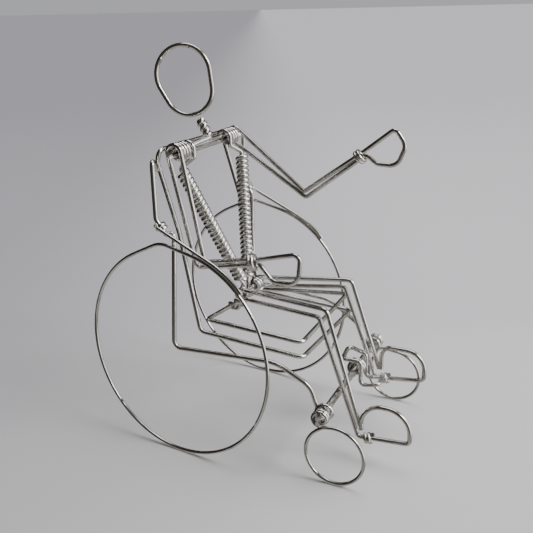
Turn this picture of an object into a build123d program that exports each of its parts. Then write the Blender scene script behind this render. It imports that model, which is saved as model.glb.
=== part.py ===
"""Wire sculpture of a person seated in a wheelchair, bent and wound from two gauges of wire.

Sizes are in millimetres. +Z is up, the sitter faces -Y and the sitter's right side is -X.
The origin is on the ground, in the middle of the sculpture's length and width.
Bend points are points of the wire's centre line, with y counted from the big wheels' centres.
"""
from build123d import *
from math import acos, atan2, cos, degrees, radians, sin
import os

# Wire gauges
frame_wire = 1.3
wheel_wire = 1.0

# Gaps between wires: beside each other, and where a coil turns on a wire
snug = 0.02
turning_fit = 0.04
wheel_gap = 0.22
arm_gap = 0.12

# Big wheels
wheel_radius = 30.0
wheel_camber = 1.2
wheel_turn = 5.5
wheel_peak_radius = 8.0
wheel_peak_rise = 1.2
wheel_overlap_end = 46.0
wheel_hanger_turns = 2

# Casters
caster_radius = 8.2
caster_half_track = 25.75
caster_lead = {"right": 4.0, "left": 6.3}
caster_peak_rise = {"right": 0.13, "left": 1.45}
caster_peak_radius = 2.6
caster_turns = 2

# Side frames: each stands in an upright plane that closes in towards the front
frame_half_width = 24.9
frame_toe_in = 0.0778
handle_height = 84.3
rail_height = {"right": 30.8, "left": 33.8}
frame_hook_turns = 1.25

# Backrest and seat wire
back_half_width = 18.4
back_top = (7.6, 85.2)
back_shoulder = (8.4, 81.8)
back_bend = (2.7, 62.7)
seat_rear = (-2.6, 33.9)
seat_front = (-34.2, 31.7)

# Upper seat loop: its corners' heights differ, as it is sprung between the posts
loop_rear_y = -4.0
loop_front_y = -33.5
loop_rear_height = {"right": 37.3, "left": 35.0}
loop_front_height = {"right": 35.4, "left": 37.6}

# Front bar: two strands, one on the other, as high as the casters hold it
bar_y = {"right": -42.45, "left": -40.1}
bar_overhang = 2.1

# Footrest
footrest_x = (3.4, 8.9)
footrest_drop = 4.3
footrest_reach = 7.4
footrest_tilt = 1.1
footrest_bridge_x = (3.3, 12.2)
footrest_bridge_y = (3.6, 4.6)
footrest_bridge_rise = 3.2
footrest_coil_turns = 2.4

# Shoulders, neck and head
shoulder_y = 3.7
shoulder_height = 84.4
shoulder_half_width = 18.8
arm_x = 17.0
arm_turns = 3
collar_start_x = {"right": 9.4, "left": 3.6}
neck_base = (0.5, 3.3, 86.6)
neck_lean = 30.0
neck_length = 6.2
neck_turns = 1.5
head_turn = 14.0
head_lean = 24.0
head_tilt = 20.0
head_width = 16.0
head_height = 19.8
chin_radius = 7.0

# Torso and hips
torso_pitch = 1.42
torso_top = {"right": (-13.3, 4.4, 79.6), "left": (13.2, -0.5, 80.0)}
torso_foot_x = {"right": -1.0, "left": 2.4}
torso_foot_height = 43.4
hip_y = -8.6
hip_height = 41.4
hip_x = {"right": -5.0, "left": 7.8}
hip_turns = {"right": 1, "left": 2}
knee_x = 11.0

# What follows from those sizes
frame_radius = frame_wire / 2
thin_radius = wheel_wire / 2
bundle_radius = frame_wire + snug
toe_y = -62.6
rear_reach = wheel_radius * cos(radians(wheel_turn)) + thin_radius
wheel_axle_y = (frame_radius - toe_y - rear_reach) / 2
wheel_top = 2 * (wheel_radius + thin_radius)
neck_strand_radius = 0.62 * frame_wire
torso_hook_x = arm_x - 2 * frame_wire - arm_turns * bundle_radius - 0.14
sides = {"right": -1, "left": 1}


# ---------------------------------------------------------------- helpers
def place(x, y, z):
    """Put a bend point, with y counted from the wheels' centres, into the part's own frame."""
    return Vector(x, y + wheel_axle_y, z)


def bent_route(points, bends, closed=False):
    """Join bend points by straight runs, with a round bend of its own radius at each corner."""
    with BuildLine() as line:
        FilletPolyline(*points, radius=bends, close=closed)
    return line.wire()


def straight_route(start, end):
    """Make the route of a straight wire."""
    with BuildLine() as line:
        Line(start, end)
    return line.wire()


def hoop_route(plane, radius, peak_radius, peak_height):
    """Make a closed hoop that is a circle with one rounded peak, on the plane's y axis."""
    peak_centre = peak_height - peak_radius
    spread = degrees(acos((radius - peak_radius) / peak_centre))
    with BuildLine(plane) as line:
        circle = CenterArc((0, 0), radius, 90 + spread, 360 - 2 * spread)
        peak = CenterArc((0, peak_centre), peak_radius, 90 - spread, 2 * spread)
        Line(circle @ 1, peak @ 0)
        Line(peak @ 1, circle @ 0)
    return line.wire()


def coil_route(centre, axis, start_direction, radius, turns, pitch, left_handed=False):
    """Make the route of a coil that is centred on a point of the wire it is wound round."""
    length = turns * pitch
    base = Plane(origin=centre - axis * (length / 2), x_dir=start_direction, z_dir=axis)
    with BuildLine() as line:
        Helix(pitch=pitch, height=length, radius=radius, lefthand=left_handed)
    return line.wire().moved(base.location)


def add_wire(route, gauge, coiled=False):
    """Sweep a round wire of this gauge along a route, into the part being built."""
    start = Plane(origin=route @ 0, z_dir=route % 0)
    with BuildSketch(start) as section:
        Circle(gauge / 2)
    sweep(section.sketch, path=route, is_frenet=coiled)


def finish(piece, name):
    """Name a finished part and keep it until all are there."""
    piece.part.label = name
    finished.append(piece.part)


finished = []

# ---------------------------------------------------------------- front bar
caster_coil_radius = bundle_radius + turning_fit + thin_radius
caster_centre_height = caster_radius + thin_radius
hang_points = {}
for side, sign in sides.items():
    hang_length = caster_radius + caster_peak_rise[side] + caster_coil_radius + wheel_wire + snug
    hang_height = caster_centre_height + (hang_length**2 - caster_lead[side] ** 2) ** 0.5
    hang_points[side] = place(sign * caster_half_track, bar_y[side], hang_height)
bar_axis = (hang_points["left"] - hang_points["right"]).normalized()
bar_rise = bar_axis.cross(Vector(0, -1, 0)).normalized()
bar_right = hang_points["right"] - bar_axis * bar_overhang
bar_left = hang_points["left"] + bar_axis * bar_overhang


def bar_point(x):
    """Point of the front bar's middle line at this x."""
    share = (x - bar_right.X) / (bar_left.X - bar_right.X)
    return bar_right + (bar_left - bar_right) * share


strand_shift = bar_rise * (frame_radius + snug / 2)
with BuildPart() as front_bar_upper:
    add_wire(straight_route(bar_right + strand_shift, bar_left + strand_shift), frame_wire)
finish(front_bar_upper, "front_bar_upper")

with BuildPart() as front_bar_lower:
    add_wire(straight_route(bar_right - strand_shift, bar_left - strand_shift), frame_wire)
finish(front_bar_lower, "front_bar_lower")

# ---------------------------------------------------------------- backrest and seat
def back_post_point(sign, height):
    """Point of a backrest post between its two bends."""
    share = (height - back_bend[1]) / (back_shoulder[1] - back_bend[1])
    return place(sign * back_half_width, back_bend[0] + share * (back_shoulder[0] - back_bend[0]), height)


back_profile = [back_top, back_shoulder, back_bend, seat_rear, seat_front]
back_bends = [1.8, 3.0, 30.0, 1.8, 1.8]
right_half = [place(-back_half_width, y, z) for y, z in back_profile]
left_half = [place(back_half_width, y, z) for y, z in reversed(back_profile)]
with BuildPart() as seat_and_back:
    add_wire(bent_route(right_half + left_half, back_bends + back_bends[::-1], closed=True), frame_wire)
finish(seat_and_back, "seat_and_back_wire")

loop_half_width = back_half_width - frame_wire - 2 * snug
loop_rear_right = place(-loop_half_width, loop_rear_y, loop_rear_height["right"])
loop_rear_left = place(loop_half_width, loop_rear_y, loop_rear_height["left"])
loop_front_right = place(-loop_half_width, loop_front_y, loop_front_height["right"])
loop_front_left = place(loop_half_width, loop_front_y, loop_front_height["left"])
loop_joint = (loop_rear_right + loop_rear_left) / 2
joint_gap = (loop_rear_left - loop_rear_right).normalized() * (snug / 2)
loop_points = [loop_joint - joint_gap, loop_rear_right, loop_front_right]
loop_points += [loop_front_left, loop_rear_left, loop_joint + joint_gap]
with BuildPart() as seat_loop:
    add_wire(bent_route(loop_points, [1.6] * 4), frame_wire)
finish(seat_loop, "seat_loop")

# ---------------------------------------------------------------- side frames
upper_routes = {
    "right": [(5.3, handle_height), (5.3, wheel_top + 6.9), (2.4, wheel_top + 2.7), (0.0, wheel_top + 4.0)],
    "left": [(5.3, handle_height), (5.3, wheel_top + 6.9), (2.6, wheel_top + 3.0)],
}
upper_bends = {"right": [1.2, 2.2, 0.7, 1.0], "left": [1.2, 2.2, 2.2]}
post_foot_y = {"right": 2.3, "left": 3.0}
front_routes = {
    "right": [(-28.4, 0.2), (-38.0, -5.2)],
    "left": [(-25.6, -1.5), (-35.6, -8.0)],
}
front_bends = [2.2, 12.0, 6.0]
hook_radius = bundle_radius + snug + frame_radius
stub_drop = 1.8


def side_point(sign, y, z):
    """Put a (y, z) bend point on the upright plane of one side frame."""
    return place(sign * (frame_half_width + frame_toe_in * y), y, z)


diagonal_runs = {}
for side, sign in sides.items():
    base = rail_height[side]
    stub_end = back_post_point(sign, back_shoulder[1] - stub_drop) + Vector(sign * bundle_radius, 0, 0)
    upper = [side_point(sign, y, z) for y, z in upper_routes[side]]
    diagonal_runs[side] = (upper[1], upper[2])
    post_foot = side_point(sign, post_foot_y[side], base)
    front = [side_point(sign, y, base + rise) for y, rise in front_routes[side]]
    outward = bar_axis * sign
    hook_start_x = sign * (frame_half_width + frame_toe_in * bar_y[side])
    hook_length = frame_hook_turns * bundle_radius
    hook_middle = bar_point(hook_start_x) + outward * (hook_length / 2)
    last_bend = front[-1] - bar_point(hook_start_x)
    hook_angle = atan2(last_bend.Z, last_bend.Y) - acos(hook_radius / (last_bend.Y**2 + last_bend.Z**2) ** 0.5)
    hook_start = Vector(0, cos(hook_angle), sin(hook_angle))
    start_direction = (hook_start - bar_axis * hook_start.dot(bar_axis)).normalized()
    hook = coil_route(
        hook_middle, outward, start_direction, hook_radius, frame_hook_turns, bundle_radius, left_handed=sign > 0
    )
    points = [stub_end] + upper + [post_foot] + front + [hook @ 0]
    with BuildPart() as side_frame:
        add_wire(bent_route(points, upper_bends[side] + front_bends), frame_wire)
        add_wire(hook, frame_wire, coiled=True)
    finish(side_frame, f"{side}_side_frame")

# ---------------------------------------------------------------- big wheels
hanger_radius = frame_radius + turning_fit + thin_radius
hanger_share = {"right": 0.47, "left": 0.5}
wheel_centre_height = wheel_radius + thin_radius
wheel_forward = Vector(-sin(radians(wheel_turn)), -cos(radians(wheel_turn)), 0)
wheel_level = Vector(0, 0, 1).cross(wheel_forward)
overlap_radius = wheel_radius + wheel_wire + snug
for side, sign in sides.items():
    diagonal_top, diagonal_foot = diagonal_runs[side]
    hanger_axis = (diagonal_foot - diagonal_top).normalized()
    hanger_centre = diagonal_top + (diagonal_foot - diagonal_top) * hanger_share[side]
    outboard = wheel_level * sign * cos(radians(wheel_camber)) + Vector(0, 0, sin(radians(wheel_camber)))
    hub = place(0, 0, wheel_centre_height)
    hub_shift = (outboard.dot(hanger_centre - hub) + hanger_radius + wheel_gap) / outboard.X
    wheel_plane = Plane(origin=hub + Vector(hub_shift, 0, 0), x_dir=wheel_forward, z_dir=outboard * -sign)
    hang_point = wheel_plane.to_local_coords(hanger_centre)
    hang_distance = (hang_point.X**2 + hang_point.Y**2) ** 0.5
    hang_angle = degrees(atan2(hang_point.X, hang_point.Y))
    peak_height = wheel_radius + wheel_peak_rise
    lean = radians(hang_angle)
    hoop_forward = wheel_plane.x_dir * cos(lean) - wheel_plane.y_dir * sin(lean)
    hoop_plane = Plane(origin=wheel_plane.origin, x_dir=hoop_forward, z_dir=wheel_plane.z_dir)
    with BuildPart() as wheel:
        add_wire(hoop_route(hoop_plane, wheel_radius, wheel_peak_radius, peak_height), wheel_wire)
    finish(wheel, f"{side}_wheel")

    tangent_angle = hang_angle + degrees(acos(overlap_radius / hang_distance))
    with BuildLine(wheel_plane) as overlap:
        arc = CenterArc((0, 0), overlap_radius, 90 - wheel_overlap_end, wheel_overlap_end - tangent_angle)
        Line(arc @ 1, (hang_point.X, hang_point.Y))
    coil_start = (outboard - hanger_axis * outboard.dot(hanger_axis)).normalized()
    hanger = coil_route(
        hanger_centre, hanger_axis, coil_start, hanger_radius, wheel_hanger_turns, wheel_wire + snug
    )
    with BuildPart() as wheel_hanger:
        add_wire(hanger, wheel_wire, coiled=True)
        add_wire(overlap.wire(), wheel_wire)
    finish(wheel_hanger, f"{side}_wheel_hanger")

# ---------------------------------------------------------------- casters
for side, sign in sides.items():
    hang_centre = hang_points[side]
    caster_centre = Vector(sign * caster_half_track, hang_centre.Y - caster_lead[side], caster_centre_height)
    upward = hang_centre - caster_centre
    peak_height = caster_radius + caster_peak_rise[side]
    caster_plane = Plane(origin=caster_centre, x_dir=upward.cross(Vector(1, 0, 0)), z_dir=(1, 0, 0))
    with BuildPart() as caster:
        add_wire(hoop_route(caster_plane, caster_radius, caster_peak_radius, peak_height), wheel_wire)
    finish(caster, f"{side}_caster")

    caster_coil = coil_route(
        hang_centre, bar_axis, bar_rise, caster_coil_radius, caster_turns, wheel_wire + snug
    )
    with BuildPart() as caster_hanger:
        add_wire(caster_coil, wheel_wire, coiled=True)
    finish(caster_hanger, f"{side}_caster_hanger")

# ---------------------------------------------------------------- footrest
bar_loop_radius = bundle_radius + turning_fit + frame_radius
footrest_halves = []
for leg_x, bridge_x, bridge_y in zip(footrest_x, footrest_bridge_x, footrest_bridge_y):
    over_bar = bar_point(leg_x)
    leg_y = over_bar.Y - bar_loop_radius
    bridge_end = bar_point(bridge_x) + Vector(0, bridge_y, footrest_bridge_rise)
    half = [
        Vector(leg_x, over_bar.Y - footrest_reach, over_bar.Z - footrest_drop + footrest_tilt),
        Vector(leg_x, leg_y, over_bar.Z - footrest_drop),
        Vector(leg_x, leg_y, over_bar.Z + footrest_bridge_rise),
        bridge_end,
    ]
    footrest_halves.append(half)
plate_ends = footrest_halves[1][0] - footrest_halves[0][0]
plate_joint = footrest_halves[0][0] + plate_ends / 2
plate_gap = plate_ends.normalized() * (snug / 2)
footrest_points = [plate_joint - plate_gap] + footrest_halves[0]
footrest_points += footrest_halves[1][::-1] + [plate_joint + plate_gap]
with BuildPart() as footrest:
    add_wire(bent_route(footrest_points, [1.2] * 8), frame_wire)
finish(footrest, "footrest")

with BuildPart() as footrest_coil:
    coil_middle = bar_point(sum(footrest_x) / 2)
    coil = coil_route(coil_middle, bar_axis, bar_rise, bar_loop_radius, footrest_coil_turns, bundle_radius)
    add_wire(coil, frame_wire, coiled=True)
finish(footrest_coil, "footrest_coil")

# ---------------------------------------------------------------- shoulders, neck and head
shoulder = place(0, shoulder_y, shoulder_height)
strand_lift = Vector(0, 0, frame_radius + snug / 2)
half_bar = Vector(shoulder_half_width, 0, 0)
with BuildPart() as shoulder_bar:
    add_wire(straight_route(shoulder - strand_lift - half_bar, shoulder - strand_lift + half_bar), frame_wire)
finish(shoulder_bar, "shoulder_bar")

neck_foot = place(*neck_base)
neck_axis = Vector(0, sin(radians(neck_lean)), cos(radians(neck_lean)))
neck_rise = neck_length - frame_wire
for side, sign in sides.items():
    strand_side = Vector(-sign, 0, 0).cross(neck_axis)
    neck_middle = neck_foot + neck_axis * (neck_rise / 2)
    neck_pitch = neck_rise / neck_turns
    strand = coil_route(neck_middle, neck_axis, strand_side, neck_strand_radius, neck_turns, neck_pitch)
    collar_points = [
        shoulder + strand_lift + half_bar * sign,
        shoulder + strand_lift + Vector(sign * collar_start_x[side], 0, 0),
        (strand @ 0) - (strand % 0) * 1.5,
        strand @ 0,
    ]
    with BuildPart() as neck_wire:
        add_wire(bent_route(collar_points, [1.5, 1.0]), frame_wire)
        add_wire(strand, frame_wire, coiled=True)
    finish(neck_wire, f"{side}_neck_wire")

neck_top = neck_foot + neck_axis * neck_length
head_across = Vector(sin(radians(head_turn)), -cos(radians(head_turn)), 0)
head_up = Vector(0, sin(radians(head_lean)), cos(radians(head_lean)))
head_normal = head_across.cross(head_up).normalized()
head_radius = head_width / 2
chin_reach = head_height - head_radius
head_level = head_normal.cross(head_across)
tilt = radians(head_tilt)
head_rise = head_level * cos(tilt) - head_across * sin(tilt)
head_front = head_normal.cross(head_rise)
head_centre = neck_top + head_rise * (chin_reach + frame_radius + snug)
head_plane = Plane(origin=head_centre, x_dir=head_front, z_dir=head_normal)
with BuildPart() as head_loop:
    add_wire(hoop_route(head_plane, head_radius, chin_radius, chin_reach), frame_wire)
finish(head_loop, "head_loop")

# ---------------------------------------------------------------- arms
shoulder_coil_radius = bundle_radius + turning_fit + frame_radius
arm_loop_radius = shoulder_coil_radius + arm_gap


def loop_points(centre, direction, radius):
    """Two bend points that carry a wire round the far side of a bar from where the wire comes."""
    along = Vector(*direction).normalized() * radius
    across = Vector(1, 0, 0).cross(along)
    return [centre - along - across, centre - along + across]


arm_direction = {"right": (0, -0.21, -0.98), "left": (0, -0.80, -0.60)}
rear_strands = {
    "right": [(-1.6, 52.6), (-21.4, 56.0)],
    "left": [(-20.0, 66.6), (-38.9, 80.7)],
}
front_strands = {
    "right": [(-21.0, 57.35), (-4.2, 54.5)],
    "left": [(-38.2, 81.6), (-19.4, 68.35)],
}
hands = {
    "right": [(-25.2, 51.6), (-32.5, 51.6), (-33.3, 60.3)],
    "left": [(-42.0, 78.2), (-47.9, 78.0), (-50.4, 84.0), (-47.2, 88.5)],
}
rear_bends = {"right": [1.9, 1.6], "left": [1.3, 1.6]}
hand_bends = {"right": [2.6, 3.4, 1.7], "left": [2.8, 3.2, 3.4, 1.4]}
upper_arm_bends = {"right": [1.6, 1.2], "left": [1.2, 1.0]}
wrist_turns = 1.75
for side, sign in sides.items():
    around_bar = loop_points(shoulder + Vector(sign * arm_x, 0, 0), arm_direction[side], arm_loop_radius)
    rear = [place(sign * arm_x, y, z) for y, z in rear_strands[side]]
    hand = [place(sign * arm_x, y, z) for y, z in hands[side]]
    front = [place(sign * arm_x, y, z) for y, z in front_strands[side]]
    points = around_bar + rear + hand + front
    bends = [arm_loop_radius - arm_gap] * 2 + rear_bends[side] + hand_bends[side] + upper_arm_bends[side]
    with BuildPart() as arm:
        add_wire(bent_route(points, bends, closed=True), frame_wire)
    finish(arm, f"{side}_arm")

    coil_x = sign * (arm_x - frame_wire - 2 * snug - arm_turns * bundle_radius / 2)
    coil_middle = shoulder + Vector(coil_x, 0, 0)
    with BuildPart() as shoulder_coil:
        coil = coil_route(coil_middle, Vector(1, 0, 0), (0, 0, 1), shoulder_coil_radius, arm_turns, bundle_radius)
        add_wire(coil, frame_wire, coiled=True)
    finish(shoulder_coil, f"{side}_shoulder_coil")

    forearm_end = (rear[1] + front[0]) / 2
    forearm_axis = (forearm_end - (rear[0] + front[1]) / 2).normalized()
    wrist_radius = (rear[1] - front[0]).length / 2 + frame_radius + thin_radius + snug
    wrist_middle = forearm_end - forearm_axis * (wheel_wire * 2)
    with BuildPart() as wrist_wrap:
        wrap = coil_route(wrist_middle, forearm_axis, (1, 0, 0), wrist_radius, wrist_turns, wheel_wire + snug)
        add_wire(wrap, wheel_wire, coiled=True)
    finish(wrist_wrap, f"{side}_wrist_wrap")

# ---------------------------------------------------------------- torso
torso_coil_radius = frame_wire + snug
seat_rear_wire = loop_rear_left - loop_rear_right
torso_hook_radius = bundle_radius + snug + frame_radius
seat_hook_radius = frame_wire + snug
for side, sign in sides.items():
    top = place(*torso_top[side])
    foot = place(torso_foot_x[side], hip_y + frame_wire + snug, torso_foot_height)
    hook_centre = shoulder + Vector(sign * torso_hook_x, 0, 0)
    seat_share = (foot.X - loop_rear_right.X) / seat_rear_wire.X
    seat_wire = loop_rear_right + seat_rear_wire * seat_share
    core_points = [
        hook_centre + Vector(0, torso_hook_radius, -0.6),
        hook_centre + Vector(0, torso_hook_radius, torso_hook_radius),
        hook_centre + Vector(0, -torso_hook_radius, torso_hook_radius),
        hook_centre + Vector(0, -torso_hook_radius, -2.2),
        top,
        foot,
        Vector(foot.X, foot.Y, hip_height - 1.0),
        Vector(foot.X, seat_wire.Y - seat_hook_radius, seat_wire.Z - seat_hook_radius),
        Vector(foot.X, seat_wire.Y + seat_hook_radius, seat_wire.Z - seat_hook_radius),
        Vector(foot.X, seat_wire.Y + seat_hook_radius, seat_wire.Z + 0.4),
    ]
    hook_bend = torso_hook_radius - snug
    core_bends = [hook_bend, hook_bend, 0.8, 1.2, 2.0, 1.2, 0.9, 0.9]
    with BuildPart() as torso_core:
        add_wire(bent_route(core_points, core_bends), frame_wire)
    finish(torso_core, f"{side}_torso_core")

    torso_axis = (foot - top).normalized()
    torso_length = (foot - top).length - 2 * frame_wire
    torso_turns = torso_length / torso_pitch
    with BuildPart() as torso_coil:
        coil = coil_route((top + foot) / 2, torso_axis, (1, 0, 0), torso_coil_radius, torso_turns, torso_pitch)
        add_wire(coil, frame_wire, coiled=True)
    finish(torso_coil, f"{side}_torso_coil")

# ---------------------------------------------------------------- hips and legs
hip_loop_radius = frame_wire + turning_fit
hip_bar_overhang = 1.2
hip_bar_right = place(hip_x["right"] - hip_bar_overhang, hip_y, hip_height)
hip_bar_left = place(hip_x["left"] + hip_bar_overhang, hip_y, hip_height)
with BuildPart() as hip_bar:
    add_wire(straight_route(hip_bar_right, hip_bar_left), frame_wire)
finish(hip_bar, "hip_bar")

knees = {"right": [(-36.0, 40.9), (-38.2, 43.4)], "left": [(-35.0, 42.2), (-37.2, 44.5)]}
ankles = {"right": [(-47.8, 6.9), (-48.2, 10.4)], "left": [(-45.2, 14.5), (-46.2, 17.6)]}
feet = {
    "right": [(-62.5, 8.0), (-62.3, 17.3), (-48.6, 17.3), (-48.6, 9.3)],
    "left": [(-60.0, 16.3), (-59.9, 25.0), (-46.9, 25.0), (-46.9, 17.6)],
}
foot_bends = {"right": [1.3, 6.6, 6.0], "left": [1.8, 5.5, 3.2]}
ankle_turns = 2
for side, sign in sides.items():
    centre = place(hip_x[side], hip_y, hip_height)
    around_bar = [
        centre + Vector(0, hip_loop_radius, hip_loop_radius),
        centre + Vector(0, hip_loop_radius, -hip_loop_radius),
    ]
    kink_upper = centre + Vector(0, -1.6, hip_loop_radius)
    kink_lower = centre + Vector(0, -1.6, -hip_loop_radius)
    inner_knee, outer_knee = [place(sign * knee_x, y, z) for y, z in knees[side]]
    rear_ankle, front_ankle = [place(sign * knee_x, y, z) for y, z in ankles[side]]
    foot = [place(sign * knee_x, y, z) for y, z in feet[side]]
    points = [front_ankle, outer_knee, kink_upper] + around_bar + [kink_lower, inner_knee, rear_ankle] + foot
    hip_bend = hip_loop_radius - snug
    bends = [2.0, 1.0, hip_bend, hip_bend, 1.0, 1.5, 1.2] + foot_bends[side]
    with BuildPart() as leg:
        add_wire(bent_route(points, bends), frame_wire)
    finish(leg, f"{side}_leg")

    turns = hip_turns[side]
    coil_x = hip_x[side] - sign * (frame_wire + 2 * snug + turns * bundle_radius / 2)
    coil_middle = place(coil_x, hip_y, hip_height)
    with BuildPart() as hip_coil:
        coil = coil_route(coil_middle, Vector(1, 0, 0), (0, 0, 1), hip_loop_radius, turns, bundle_radius)
        add_wire(coil, frame_wire, coiled=True)
    finish(hip_coil, f"{side}_hip_coil")

    sole_axis = (foot[0] - rear_ankle).normalized()
    wrap_middle = rear_ankle + sole_axis * 3.2
    wrap_radius = frame_radius + thin_radius + snug
    with BuildPart() as ankle_wrap:
        wrap = coil_route(wrap_middle, sole_axis, (0, 0, 1), wrap_radius, ankle_turns, wheel_wire + snug)
        add_wire(wrap, wheel_wire, coiled=True)
    finish(ankle_wrap, f"{side}_ankle_wrap")

# ---------------------------------------------------------------- files
boxes = [solid.bounding_box() for solid in finished]
middle_x = (min(box.min.X for box in boxes) + max(box.max.X for box in boxes)) / 2
middle_y = (min(box.min.Y for box in boxes) + max(box.max.Y for box in boxes)) / 2
os.makedirs("parts", exist_ok=True)
for solid in finished:
    centred = solid.moved(Location((-middle_x, -middle_y, 0)))
    centred.label = solid.label
    export_step(centred, f"parts/{solid.label}.step")
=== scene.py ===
"""Looks of a small sculpture: a faceless figure seated in a wheelchair, bent and wound from wire.

Sizes in this file are millimetres until a mesh is made, and the row frame is the CAD model's:
+Z up, the sitter faces -Y and the sitter's right side is -X.
"""
import logging
from dataclasses import dataclass, field
from enum import Enum
from math import acos, atan2, ceil, cos, degrees, pi, radians, sin
from typing import Any, Union

import bpy
from mathutils import Matrix, Vector


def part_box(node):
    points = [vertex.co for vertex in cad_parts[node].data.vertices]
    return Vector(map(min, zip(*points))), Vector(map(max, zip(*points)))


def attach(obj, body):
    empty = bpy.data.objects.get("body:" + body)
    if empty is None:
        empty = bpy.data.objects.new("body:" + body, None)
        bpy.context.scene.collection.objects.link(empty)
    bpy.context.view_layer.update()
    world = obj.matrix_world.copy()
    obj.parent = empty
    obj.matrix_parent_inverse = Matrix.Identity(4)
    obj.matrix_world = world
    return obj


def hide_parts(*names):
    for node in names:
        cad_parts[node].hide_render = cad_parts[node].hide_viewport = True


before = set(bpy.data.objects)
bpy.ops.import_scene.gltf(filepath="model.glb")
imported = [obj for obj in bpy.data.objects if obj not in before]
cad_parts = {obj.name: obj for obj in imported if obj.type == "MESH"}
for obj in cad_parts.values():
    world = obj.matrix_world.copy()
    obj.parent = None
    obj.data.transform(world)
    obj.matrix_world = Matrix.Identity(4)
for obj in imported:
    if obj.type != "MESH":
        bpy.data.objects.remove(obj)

log = logging.getLogger("wire_sculpture")
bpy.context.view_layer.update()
MM = 0.001
SIDES = {"right": -1, "left": 1}
X_AXIS = Vector((1, 0, 0))
Z_AXIS = Vector((0, 0, 1))


class Slot(Enum):
    """The record's material slots."""

    CHAIR = "chair_wire"
    FIGURE = "figure_wire"
    WHEEL = "wheel_wire"
    BINDING = "binding_wire"


class Lay(Enum):
    """The hand of a coil."""

    RIGHT_HANDED = 1
    LEFT_HANDED = -1


# ---------------------------------------------------------------- node graphs
class Socket:
    """A node's output that Python's operators work on."""

    def __init__(self, graph: "Graph", link: Any) -> None:
        """Wrap one output socket of a graph."""
        self.graph = graph
        self.link = link

    def _maths(self, operation: str, first: Any, second: Any) -> "Socket":
        """Add a Math node for two values and give its result."""
        return self.graph.add("ShaderNodeMath", {"operation": operation}, {0: first, 1: second})

    def __add__(self, other: Any) -> "Socket":
        """Add a value."""
        return self._maths("ADD", self, other)

    def __radd__(self, other: Any) -> "Socket":
        """Add to a value."""
        return self._maths("ADD", other, self)

    def __sub__(self, other: Any) -> "Socket":
        """Take a value away."""
        return self._maths("SUBTRACT", self, other)

    def __rsub__(self, other: Any) -> "Socket":
        """Take this from a value."""
        return self._maths("SUBTRACT", other, self)

    def __mul__(self, other: Any) -> "Socket":
        """Multiply by a value."""
        return self._maths("MULTIPLY", self, other)

    def __rmul__(self, other: Any) -> "Socket":
        """Multiply a value."""
        return self._maths("MULTIPLY", other, self)

    def __truediv__(self, other: Any) -> "Socket":
        """Divide by a value."""
        return self._maths("DIVIDE", self, other)

    def __rtruediv__(self, other: Any) -> "Socket":
        """Divide a value by this."""
        return self._maths("DIVIDE", other, self)

    def __pow__(self, other: Any) -> "Socket":
        """Raise to a power."""
        return self._maths("POWER", self, other)

    def greater(self, other: Any) -> "Socket":
        """Give 1 where this is more than a value, else 0."""
        return self._maths("GREATER_THAN", self, other)


class Graph:
    """A node tree that is filled by one method."""

    def __init__(self, tree: bpy.types.NodeTree) -> None:
        """Start on an empty tree."""
        self.tree = tree
        tree.nodes.clear()

    def add(self, kind: str, settings: dict[str, Any], values: dict[Any, Any], output: Any = 0) -> Socket:
        """Add a node.

        Args:
            kind: the node's type.
            settings: properties that are set first, with a ramp's stops under "stops".
            values: what each input gets, by name or place: a Socket or a plain value.
            output: name or place of the output to give back.

        Returns:
            The wanted output, ready for operators.
        """
        node = self.tree.nodes.new(kind)
        for name, value in settings.items():
            if name == "stops":
                self._set_stops(node.color_ramp, value)
            else:
                setattr(node, name, value)
        for name, value in values.items():
            target = node.inputs[name]
            if isinstance(value, Socket):
                self.tree.links.new(value.link, target)
            else:
                target.default_value = value
        return Socket(self, node.outputs[output] if len(node.outputs) else None)

    @staticmethod
    def _set_stops(ramp: Any, stops: list[tuple[float, tuple[float, ...]]]) -> None:
        """Set a ramp's stops, each a place and a colour."""
        while len(ramp.elements) < len(stops):
            ramp.elements.new(0.5)
        for element, (place, colour) in zip(ramp.elements, stops):
            element.position = place
            element.color = colour


# ---------------------------------------------------------------- stretches of wire
@dataclass
class Run:
    """A stretch of wire that is bent at points, with a round bend of its own radius at each."""

    points: list[Vector]
    bends: list[float]
    closed: bool = False

    def chain(self) -> tuple[list[Vector], list[dict[str, Any]], bool]:
        """Give the stretch's points, what each point carries, and whether it closes."""
        bends = self.bends if self.closed else [0.0] + self.bends + [0.0]
        return self.points, [{"bend": bend * MM} for bend in bends], self.closed


@dataclass
class Coil:
    """A stretch of wire that is wound round an axis."""

    middle: Vector
    axis: Vector
    start: Vector
    radius: float
    turns: float
    pitch: float
    lay: Lay = Lay.RIGHT_HANDED

    def __post_init__(self) -> None:
        """Square the start direction to the axis."""
        self.axis = self.axis.normalized()
        across = self.start - self.axis * self.start.dot(self.axis)
        self.start = across.normalized()

    def chain(self) -> tuple[list[Vector], list[dict[str, Any]], bool]:
        """Give the axis's two ends, what each carries, and that it doesn't close."""
        half = self.axis * (self.turns * self.pitch / 2)
        facts = {
            "coil_turns": self.turns * self.lay.value,
            "coil_radius": self.radius * MM,
            "coil_start": tuple(self.start),
        }
        return [self.middle - half, self.middle + half], [facts, facts], False

    def first_point(self) -> Vector:
        """Point where the coil starts."""
        return self.middle - self.axis * (self.turns * self.pitch / 2) + self.start * self.radius

    def first_direction(self) -> Vector:
        """Direction in which the wire goes at the coil's start."""
        round_axis = self.axis.cross(self.start) * (2 * pi * self.radius * self.lay.value)
        return (round_axis + self.axis * self.pitch).normalized()


Stretch = Union[Run, Coil]


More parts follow.
